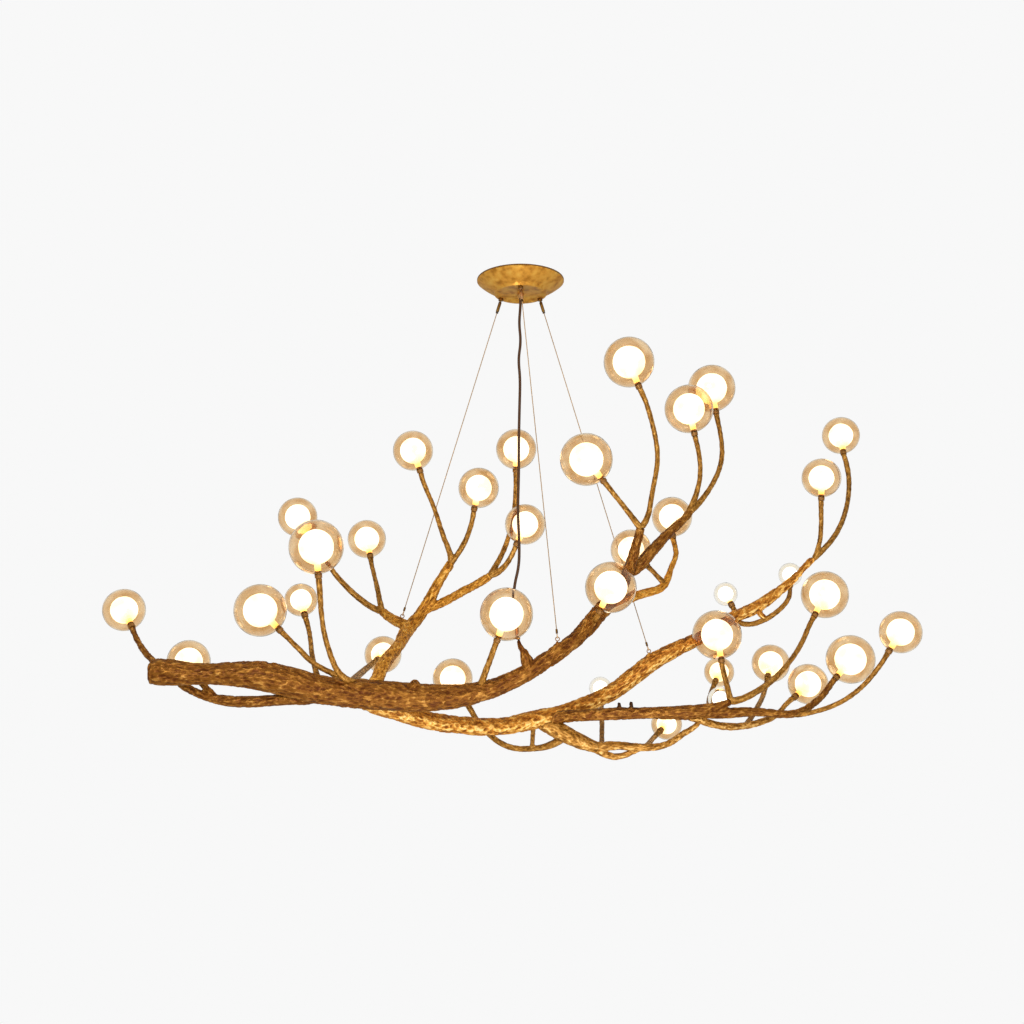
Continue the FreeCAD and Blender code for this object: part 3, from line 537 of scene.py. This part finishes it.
class GlobeSettings(bpy.types.PropertyGroup):
    wall: bpy.props.FloatProperty(
        name="Glass wall", description="Thickness of the outer glass", default=2.2 * MM,
        unit="LENGTH")
    mouth: bpy.props.FloatProperty(
        name="Mouth", description="Radius of the outer glass's hole", default=4.3 * MM,
        unit="LENGTH")
    inner_share: bpy.props.FloatProperty(
        name="Inner ball", description="Inner ball's share of the globe's width", default=0.64,
        subtype="FACTOR", min=0.3, max=0.9)
    neck: bpy.props.FloatProperty(
        name="Neck", description="Radius of the inner ball's neck", default=7.6 * MM, unit="LENGTH")
    neck_gap: bpy.props.FloatProperty(
        name="Neck gap", description="From the neck's end to the outer glass", default=5.0 * MM,
        unit="LENGTH")
    glow: bpy.props.FloatProperty(
        name="Glow", description="Light of the inner ball", default=2.6, min=0.0)


class OBJECT_OT_globes(bpy.types.Operator):
    """Adds the outer glasses and the lit opal balls inside them"""

    bl_idname = "chandelier.globes"
    bl_label = "Globes"

    def execute(self, context):
        settings = context.scene.chandelier_globes
        champagne = clear_glass("Champagne_blown_glass", "#E6C9A0", "#F0D8B6", "#F9E8CC")
        pale = clear_glass("Pale_blown_glass", "#FAF4E6", "#FDF8EE", "#FEFCF6")
        opal = opal_glass(settings.glow)
        for size, places in lamp_places().items():
            radius = size / 2 * MM
            model = sphere_with_mouth(radius, settings.mouth)
            apply_modifier(model, "SOLIDIFY", thickness=settings.wall, offset=-1.0)
            node = f"glass_globes_{size}"
            globes = placed_copies(model, places, node + "_look")
            glass = pale if size == min(SIZES) else champagne
            finish(globes, node + "_look", glass, "frame", [node])

            end = -(radius - settings.wall - settings.neck_gap)
            model = ball_with_neck(radius * settings.inner_share, settings.neck, end)
            node = f"opal_balls_{size}"
            balls = placed_copies(model, places, node + "_look")
            finish(balls, node + "_look", opal, "frame", [node])
        return {"FINISHED"}


class LampMetalSettings(bpy.types.PropertyGroup):
    brass: bpy.props.StringProperty(
        name="Brass", description="Colour of the cups, ring nuts and eyes", default="#8A6028")


class OBJECT_OT_lamp_metal(bpy.types.Operator):
    """Finishes the lamps' small pieces, the anchor eyes and the cord sleeve"""

    bl_idname = "chandelier.lamp_metal"
    bl_label = "Lamp metal"

    def execute(self, context):
        settings = context.scene.chandelier_lamp_metal
        brass = plain("Aged_brass", settings.brass, 0.3, 0.42, grain_mm=4, grain_depth_mm=0.3)
        bright = plain("Turned_brass", "#D9A868", 1.0, 0.3)
        for node in ("globe_cups", "globe_ring_nuts", "anchor_eyes"):
            smooth_copy(node, brass, "frame")
        smooth_copy("cord_sleeve", bright, "frame")
        rubber = plain("Silicone_washer", "#6A4A22", 0.0, 0.6)
        smooth_copy("globe_washers", rubber, "frame")
        ceramic = plain("Steatite_holder", "#EDE6D0", 0.0, 0.55)
        smooth_copy("lamp_holders", ceramic, "frame")
        lens = plain("Clear_capsule", "#FFE9B0", 0.0, 0.1)
        smooth_copy("led_capsules", lens, "frame")
        return {"FINISHED"}


# ---------------------------------------------------------------- canopy and suspension
LACQUER_METALLIC = 0.4
# The rim is coloured darker from the lower of these heights to the upper.
RIM_DARK_BAND = (-4.0 * MM, -2.6 * MM)


class CanopySettings(bpy.types.PropertyGroup):
    gold: bpy.props.StringProperty(
        name="Gold", description="The canopy's main colour", default="#CE983E")
    # The colour that the rim darkens to, towards its top.
    rim: bpy.props.StringProperty(
        name="Rim", description="The worn rim's colour", default="#6E4A1C")
    roughness: bpy.props.FloatProperty(
        name="Roughness", description="How satin the gold is", default=0.42, subtype="FACTOR",
        min=0, max=1)


class OBJECT_OT_canopy(bpy.types.Operator):
    """Finishes the ceiling canopy and what is inside it"""

    bl_idname = "chandelier.canopy"
    bl_label = "Canopy"

    def execute(self, context):
        settings = context.scene.chandelier_canopy
        # Brushed-on metallic lacquer over spun steel: a satin gold, cloudy with the brush.
        gold, tree = new_material("Brushed_gold_lacquer")
        cloud = noise(tree, 16, detail=5)
        base = ramp(tree, cloud, [(0.32, "#A87226"), (0.5, settings.gold), (0.72, "#DCB254")])
        level = add_node(tree, "ShaderNodeSeparateXYZ", [("Vector", own_place(tree))]).outputs["Z"]
        # The rim is coloured darker towards its top.
        rim_band = [("Value", level), ("From Min", RIM_DARK_BAND[0]), ("From Max", RIM_DARK_BAND[1])]
        lip = add_node(tree, "ShaderNodeMapRange", rim_band).outputs["Result"]
        inputs = [
            ("Base Color", mix(tree, lip, base, linear(settings.rim))),
            ("Metallic", LACQUER_METALLIC), ("Roughness", settings.roughness),
            ("Specular IOR Level", LEAF_SHINE),
        ]
        principled(tree, inputs)
        smooth_copy("canopy_cover", gold, "canopy", angle=25)
        zinc = plain("Zinc_plated_steel", "#B9BBBD", 1.0, 0.4)
        brass = plain("Aged_brass_seats", "#8A6430", 1.0, 0.38)
        bright = plain("Turned_brass_gland", "#D9A868", 1.0, 0.3)
        case = plain("Moulded_driver_case", "#EDEDEA", 0.0, 0.5)
        block = plain("Moulded_terminal_block", "#E8E6DC", 0.0, 0.5)
        dress = {
            "ceiling_bracket": (zinc, "zinc_steel"), "centre_nipple": (zinc, "zinc_steel"),
            "nipple_nuts": (zinc, "zinc_steel"), "lock_washer": (zinc, "zinc_steel"),
            "gripper_seat_nuts": (zinc, "zinc_steel"), "terminal_screws": (zinc, "zinc_steel"),
            "gripper_seats": (brass, "aged_brass"), "cord_grip": (bright, "bright_brass"),
            "earth_screw": (bright, "bright_brass"), "led_driver": (case, "driver_case"),
            "terminal_block": (block, "terminal_plastic"),
        }
        for node, (material, slot) in dress.items():
            smooth_copy(node, material, "canopy")
        return {"FINISHED"}


class SuspensionSettings(bpy.types.PropertyGroup):
    wire: bpy.props.StringProperty(name="Wire", description="The wires' colour", default="#C6A880")


class OBJECT_OT_suspension(bpy.types.Operator):
    """Finishes the three wires, their grippers, sleeves and crimps"""

    bl_idname = "chandelier.suspension"
    bl_label = "Suspension"

    def execute(self, context):
        settings = context.scene.chandelier_suspension
        steel = plain("Coated_steel_wire", settings.wire, 0.0, 0.5)
        bright = plain("Pale_gold_gripper", "#D8A878", 1.0, 0.3)
        aged = plain("Aged_gripper", "#8A6A34", 0.9, 0.4)
        dark = plain("Bronzed_gripper", "#5E4420", 1.0, 0.42)
        for side in ("front", "left", "right"):
            gripper, slot = (bright, "bright_brass") if side == "front" else (aged, "aged_brass")
            smooth_copy(f"wire_gripper_{side}", gripper, f"wire_{side}")
            smooth_copy(f"suspension_wire_{side}", steel, f"wire_{side}")
            smooth_copy(f"wire_ferrule_{side}", dark, f"wire_{side}")
            smooth_copy(f"release_sleeve_{side}", dark, f"sleeve_{side}")
        return {"FINISHED"}


# The cord's way from the gland to the sleeve, in millimetres.
CORD_ROUTE = [
    (0, 0, -48), (0, -1, -70), (-4, -4, -116), (1, -9, -165), (-6, -14, -214), (-1, -20, -266),
    (-3, -29, -340), (-5, -40, -425), (-5, -52, -515), (-8, -64, -605), (-4, -77, -690),
    (-5, -86, -745), (-16, -92, -790), (-18, -97, -832), (-10, -103, -876), (-7, -107.5, -919),
]


class CordSettings(bpy.types.PropertyGroup):
    diameter: bpy.props.FloatProperty(
        name="Diameter", description="The cord's thickness", default=6.8 * MM, unit="LENGTH")
    length: bpy.props.FloatProperty(
        name="Length", description="The cord's real length", default=0.88, unit="LENGTH")
    colour: bpy.props.StringProperty(
        name="Colour", description="The braid's colour", default="#46280A")


class OBJECT_OT_cord(bpy.types.Operator):
    """Hangs the power cord from the canopy to the trunk"""

    bl_idname = "chandelier.cord"
    bl_label = "Power cord"

    def execute(self, context):
        settings = context.scene.chandelier_cord
        curve = bpy.data.curves.new("power_cord_look", "CURVE")
        curve.dimensions = "3D"
        curve.bevel_resolution = 4
        curve.resolution_u = 12
        curve.use_fill_caps = True
        spline = curve.splines.new("NURBS")
        spline.points.add(len(CORD_ROUTE) - 1)
        for point, (x, y, z) in zip(spline.points, CORD_ROUTE):
            point.co = (x * MM, y * MM, z * MM, 1.0)
        spline.order_u = 3
        spline.use_endpoint_u = True
        obj = link(bpy.data.objects.new("power_cord_look", curve))
        # The path is that of the bare curve, and its thickness comes after it.
        line = bpy.data.meshes.new_from_object(obj)
        curve.bevel_depth = settings.diameter / 2
        only(obj)
        bpy.ops.object.convert(target="MESH")
        bpy.ops.object.shade_smooth()
        braid = plain(
            "Braided_cord_sleeve", settings.colour, 0.0, 0.7, grain_mm=1.6, grain_depth_mm=0.3)
        obj.data.materials.clear()
        obj.data.materials.append(braid)
        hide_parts("power_cord")
        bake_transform(obj)
        return {"FINISHED"}


# ---------------------------------------------------------------- stage
class StageSettings(bpy.types.PropertyGroup):
    ground: bpy.props.StringProperty(
        name="Ground", description="Colour of the floor and background", default="#F8F8F8")
    daylight: bpy.props.FloatProperty(
        name="Daylight", description="Level of the soft light all round", default=0.46, min=0.0)
    floor_z: bpy.props.FloatProperty(
        name="Floor", description="Height of the floor", default=-6.0, unit="LENGTH")
    focal: bpy.props.FloatProperty(
        name="Focal length", description="Of the camera, in pixels of a 1024 pixel frame",
        default=1250.0)
    pitch: bpy.props.FloatProperty(
        name="Pitch", description="How far the camera looks up", default=math.radians(11),
        subtype="ANGLE")


FRAME_PIXELS = 1024
SENSOR_MM = 36.0
CAMERA_REACH = 100
CAMERA_PLACE = (-0.0215, -2.9978, -1.1809)
FLOOR_SIZE = 60
LAMP_AIM = Vector((0.0, 0.0, -0.6))
LAMPS = [
    # name, place, size, watts
    ("Key", (-0.9, -3.6, -0.5), 1.6, 70),
    ("Fill", (1.6, -3.0, -1.9), 1.8, 28),
    ("Top", (0.3, -1.2, 1.6), 2.0, 12),
    ("Under", (0.1, -0.8, -2.1), 1.4, 13),
]


def seen_or_soft(tree, soft, seen):
    """The pale backdrop where it is seen straight or through glass, else a softer light."""
    path = add_node(tree, "ShaderNodeLightPath")
    rays = [(0, path.outputs["Is Camera Ray"]), (1, path.outputs["Is Transmission Ray"])]
    either = add_node(tree, "ShaderNodeMath", rays, operation="MAXIMUM").outputs[0]
    parts = [(0, either), (1, soft.outputs[0]), (2, seen.outputs[0])]
    return add_node(tree, "ShaderNodeMixShader", parts).outputs[0]


class OBJECT_OT_stage(bpy.types.Operator):
    """Adds the floor, the background, the lights and the camera"""

    bl_idname = "chandelier.stage"
    bl_label = "Stage"

    def execute(self, context):
        settings = context.scene.chandelier_stage
        scene = context.scene
        scene.view_settings.view_transform = "Standard"
        world = bpy.data.worlds.new("Studio")
        scene.world = world
        world.use_nodes = True
        tree = world.node_tree
        tree.nodes.clear()
        backdrop = (linear(settings.ground), 1.0)
        daylight = (linear("#FFFAF2"), settings.daylight)
        sky = [
            add_node(tree, "ShaderNodeBackground", [("Color", colour), ("Strength", level)])
            for colour, level in (daylight, backdrop)]
        add_node(tree, "ShaderNodeOutputWorld", [("Surface", seen_or_soft(tree, *sky))])

        bpy.ops.object.select_all(action="DESELECT")
        bpy.ops.mesh.primitive_plane_add(size=FLOOR_SIZE, location=(0, 0, settings.floor_z))
        floor = context.view_layer.objects.active
        floor.name = "Floor"
        matte, tree = new_material("Matte_pale_floor")
        glow = [
            add_node(tree, "ShaderNodeEmission", [("Color", colour), ("Strength", level)])
            for colour, level in (daylight, backdrop)]
        add_node(tree, "ShaderNodeOutputMaterial", [("Surface", seen_or_soft(tree, *glow))])
        floor.data.materials.append(matte)

        for name, place, size, watts in LAMPS:
            light = bpy.data.lights.new(name, "AREA")
            light.shape = "DISK"
            light.size = size
            light.energy = watts
            light.color = linear("#FFF3E2")[:3]
            obj = link(bpy.data.objects.new(name, light))
            obj.location = place
            obj.rotation_euler = (LAMP_AIM - Vector(place)).to_track_quat("-Z", "Y").to_euler()
            obj.visible_camera = False
            obj.visible_transmission = False

        lens = bpy.data.cameras.new("Camera")
        lens.sensor_width = SENSOR_MM
        lens.lens = SENSOR_MM * settings.focal / FRAME_PIXELS
        lens.clip_end = CAMERA_REACH
        camera = link(bpy.data.objects.new("Camera", lens))
        camera.location = CAMERA_PLACE
        camera.rotation_euler = (math.pi / 2 + settings.pitch, 0, 0)
        scene.camera = camera
        return {"FINISHED"}


# ---------------------------------------------------------------- add-on
GROUPS = {
    "chandelier_branches": BranchSettings, "chandelier_globes": GlobeSettings,
    "chandelier_lamp_metal": LampMetalSettings, "chandelier_canopy": CanopySettings,
    "chandelier_suspension": SuspensionSettings, "chandelier_cord": CordSettings,
    "chandelier_stage": StageSettings,
}
OPERATORS = (
    OBJECT_OT_stage, OBJECT_OT_cord, OBJECT_OT_branches, OBJECT_OT_globes, OBJECT_OT_lamp_metal,
    OBJECT_OT_canopy, OBJECT_OT_suspension,
)


class VIEW3D_PT_chandelier(bpy.types.Panel):
    """Lists the chandelier's settings and the operators that build it"""

    bl_label = "Branch Chandelier"
    bl_space_type = "VIEW_3D"
    bl_region_type = "UI"
    bl_category = "Chandelier"

    def draw(self, context):
        for name, group in GROUPS.items():
            box = self.layout.box()
            for setting in group.__annotations__:
                box.prop(getattr(context.scene, name), setting)
        for operator in OPERATORS:
            self.layout.operator(operator.bl_idname)


def register():
    for group in GROUPS.values():
        bpy.utils.register_class(group)
    for name, group in GROUPS.items():
        setattr(bpy.types.Scene, name, bpy.props.PointerProperty(type=group))
    for operator in OPERATORS:
        bpy.utils.register_class(operator)
    bpy.utils.register_class(VIEW3D_PT_chandelier)


def unregister():
    bpy.utils.unregister_class(VIEW3D_PT_chandelier)
    for operator in reversed(OPERATORS):
        bpy.utils.unregister_class(operator)
    for name in GROUPS:
        delattr(bpy.types.Scene, name)
    for group in reversed(list(GROUPS.values())):
        bpy.utils.unregister_class(group)


def main():
    register()
    bpy.ops.chandelier.stage()
    bpy.ops.chandelier.cord()
    bpy.ops.chandelier.branches()
    bpy.ops.chandelier.globes()
    bpy.ops.chandelier.lamp_metal()
    bpy.ops.chandelier.canopy()
    bpy.ops.chandelier.suspension()


if __name__ == "__main__":
    main()
